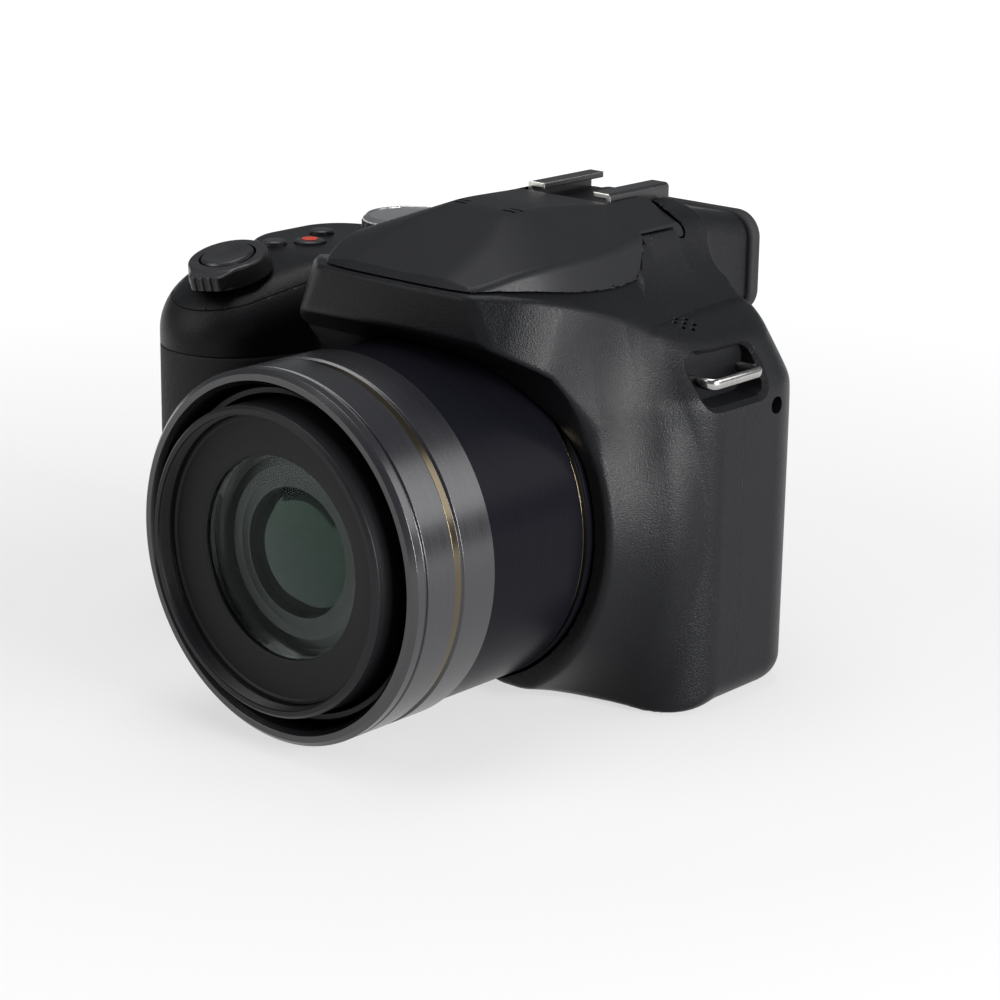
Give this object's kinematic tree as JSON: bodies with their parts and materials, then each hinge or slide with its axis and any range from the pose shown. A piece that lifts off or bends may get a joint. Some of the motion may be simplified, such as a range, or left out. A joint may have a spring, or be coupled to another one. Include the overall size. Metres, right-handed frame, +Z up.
{
  "type": "bridge camera",
  "caption": "Black bridge camera with a long zoom lens that extends, deep handgrip, pop-up flash lid, accessory shoe, eyepiece, monitor, doors and working controls.",
  "frame": {"origin": "mouth of the tripod socket in the base, under the lens axis", "axes": "+Z up, the lens looks along -Y, +X to the camera's own left side"},
  "size_m": [0.1302, 0.1192, 0.0943],
  "materials": {
    "cover": "satin charcoal, fine grain",
    "deck": "satin charcoal",
    "lid": "matte charcoal",
    "skin": "grained black rubber",
    "barrel": "black anodised, satin gloss",
    "inner_barrel": "matte black",
    "name": "deep matte black",
    "lens_glass": "coated glass",
    "screen": "gloss black glass",
    "clear": "clear ribbed",
    "lamp": "dark red lens",
    "key": "gloss black",
    "control": "satin black",
    "dial": "spun satin top",
    "cap": "dark bright",
    "rail": "black painted, bright cut ends",
    "steel": "polished",
    "frame": "plain sheet",
    "board": "solder mask",
    "cell": "wrapped cell"
  },
  "bodies": {
    "camera": {"front_cover": "cover", "rear_cover": "cover", "top_deck": "deck", "grip_skin": "skin", "thumb_pad": "skin", "base_plate": "cover", "case_screws": "steel", "chassis": "frame", "tripod_bush": "steel", "battery_case": "inner_barrel", "battery": "cell", "lens_base": "inner_barrel", "guide_rods": "steel", "outer_barrel": "barrel", "front_ring": "barrel", "sensor_board": "board", "main_board": "board", "terminal_board": "board", "monitor_panel": "inner_barrel", "monitor_glass": "screen", "viewfinder_tube": "inner_barrel", "eyepiece_lens": "lens_glass", "eyecup": "skin", "shoe_rails": "rail", "shoe_base": "inner_barrel", "strap_lug_left": "steel", "strap_lug_right": "steel", "assist_lamp": "lamp", "flash_pins": "steel"},
    "front_barrel": {"front_barrel": "inner_barrel", "lens_cell": "inner_barrel", "name_ring": "name", "front_glass": "lens_glass", "second_glass": "lens_glass"},
    "flash_lid": {"flash_lid": "lid", "flash_window": "clear", "flash_reflector": "frame"},
    "zoom_barrel": {"zoom_barrel": "inner_barrel"},
    "zoom_group": {"zoom_group": "inner_barrel"},
    "dioptre_dial": {"dioptre_dial": "control"},
    "shutter_button": {"shutter_button": "cap"},
    "zoom_lever": {"zoom_lever": "control"},
    "mode_dial": {"mode_dial": "dial"},
    "power_switch": {"power_switch": "control"},
    "movie_button": {"movie_button": "key"},
    "burst_button": {"burst_button": "key"},
    "function_button": {"function_button": "key"},
    "rear_dial": {"rear_dial": "control"},
    "lock_button": {"lock_button": "key"},
    "viewfinder_button": {"viewfinder_button": "key"},
    "playback_button": {"playback_button": "key"},
    "display_button": {"display_button": "key"},
    "quick_menu_button": {"quick_menu_button": "key"},
    "cursor_pad": {"cursor_pad": "key"},
    "set_button": {"set_button": "key"},
    "flash_button": {"flash_button": "key"},
    "battery_door": {"battery_door": "cover"},
    "door_latch": {"door_latch": "control"},
    "terminal_door": {"terminal_door": "cover"}
  },
  "joints": [
    {"name": "zoom_slide", "type": "slide", "parent": "camera", "child": "zoom_barrel", "axis": [0, -1, 0], "range_m": [0, 0.034]},
    {"name": "front_slide", "type": "slide", "parent": "zoom_barrel", "child": "front_barrel", "axis": [0, -1, 0], "range_m": [0, 0.03]},
    {"name": "zoom_group_slide", "type": "slide", "parent": "camera", "child": "zoom_group", "axis": [0, -1, 0], "range_m": [0, 0.02]},
    {"name": "flash_hinge", "type": "hinge", "parent": "camera", "child": "flash_lid", "pos_m": [0, 0.0055, 0.0875], "axis": [-1, 0, 0], "range_deg": [0, 38]},
    {"name": "shutter_press", "type": "slide", "parent": "camera", "child": "shutter_button", "axis": [0, 0.2588, -0.9659], "range_m": [0, 0.0008], "stiffness_N_per_m": 500},
    {"name": "zoom_lever_turn", "type": "hinge", "parent": "camera", "child": "zoom_lever", "pos_m": [-0.064, -0.033, 0.07152], "axis": [0, -0.2588, 0.9659], "range_deg": [-20, 20], "stiffness_Nm_per_rad": 0.03},
    {"name": "mode_dial_turn", "type": "hinge", "parent": "camera", "child": "mode_dial", "pos_m": [-0.0499, 0.005, 0.075], "axis": [0, 0, 1], "continuous": true},
    {"name": "power_slide", "type": "slide", "parent": "camera", "child": "power_switch", "axis": [0, 1, 0], "range_m": [0, 0.004]},
    {"name": "movie_press", "type": "slide", "parent": "camera", "child": "movie_button", "axis": [0, 0, -1], "range_m": [0, 0.0005], "stiffness_N_per_m": 300},
    {"name": "burst_press", "type": "slide", "parent": "camera", "child": "burst_button", "axis": [0, 0, -1], "range_m": [0, 0.0005], "stiffness_N_per_m": 300},
    {"name": "function_press", "type": "slide", "parent": "camera", "child": "function_button", "axis": [0, 0, -1], "range_m": [0, 0.0005], "stiffness_N_per_m": 300},
    {"name": "rear_dial_turn", "type": "hinge", "parent": "camera", "child": "rear_dial", "pos_m": [-0.064, 0.0105, 0.0675], "axis": [0, 0, 1], "continuous": true},
    {"name": "lock_press", "type": "slide", "parent": "camera", "child": "lock_button", "axis": [0, -1, 0], "range_m": [0, 0.0005], "stiffness_N_per_m": 300},
    {"name": "viewfinder_press", "type": "slide", "parent": "camera", "child": "viewfinder_button", "axis": [0, -1, 0], "range_m": [0, 0.0005], "stiffness_N_per_m": 300},
    {"name": "playback_press", "type": "slide", "parent": "camera", "child": "playback_button", "axis": [0, -1, 0], "range_m": [0, 0.0005], "stiffness_N_per_m": 300},
    {"name": "display_press", "type": "slide", "parent": "camera", "child": "display_button", "axis": [0, -1, 0], "range_m": [0, 0.0005], "stiffness_N_per_m": 300},
    {"name": "quick_menu_press", "type": "slide", "parent": "camera", "child": "quick_menu_button", "axis": [0, -1, 0], "range_m": [0, 0.0005], "stiffness_N_per_m": 300},
    {"name": "flash_press", "type": "slide", "parent": "camera", "child": "flash_button", "axis": [0, -1, 0], "range_m": [0, 0.0005], "stiffness_N_per_m": 300},
    {"name": "set_press", "type": "slide", "parent": "camera", "child": "set_button", "axis": [0, -1, 0], "range_m": [0, 0.0005], "stiffness_N_per_m": 300},
    {"name": "cursor_tilt", "type": "hinge", "parent": "camera", "child": "cursor_pad", "pos_m": [-0.049, 0.015, 0.034], "axis": [1, 0, 0], "range_deg": [-3, 3], "stiffness_Nm_per_rad": 0.05},
    {"name": "dioptre_turn", "type": "hinge", "parent": "camera", "child": "dioptre_dial", "pos_m": [-0.02, 0.016, 0.0792], "axis": [-1, 0, 0], "range_deg": [-120, 120]},
    {"name": "battery_door_hinge", "type": "hinge", "parent": "camera", "child": "battery_door", "pos_m": [-0.0454, -0.003, 0.0012], "axis": [0, -1, 0], "range_deg": [0, 95]},
    {"name": "latch_slide", "type": "slide", "parent": "battery_door", "child": "door_latch", "axis": [1, 0, 0], "range_m": [0, 0.0025]},
    {"name": "terminal_door_hinge", "type": "hinge", "parent": "camera", "child": "terminal_door", "pos_m": [-0.0822, -0.0036, 0.042], "axis": [0, 0, 1], "range_deg": [0, 90]}
  ],
  "couplings": [
    {"joint": "front_slide", "follows": "zoom_slide", "ratio": 0.88235},
    {"joint": "zoom_group_slide", "follows": "zoom_slide", "ratio": 0.58823}
  ]
}
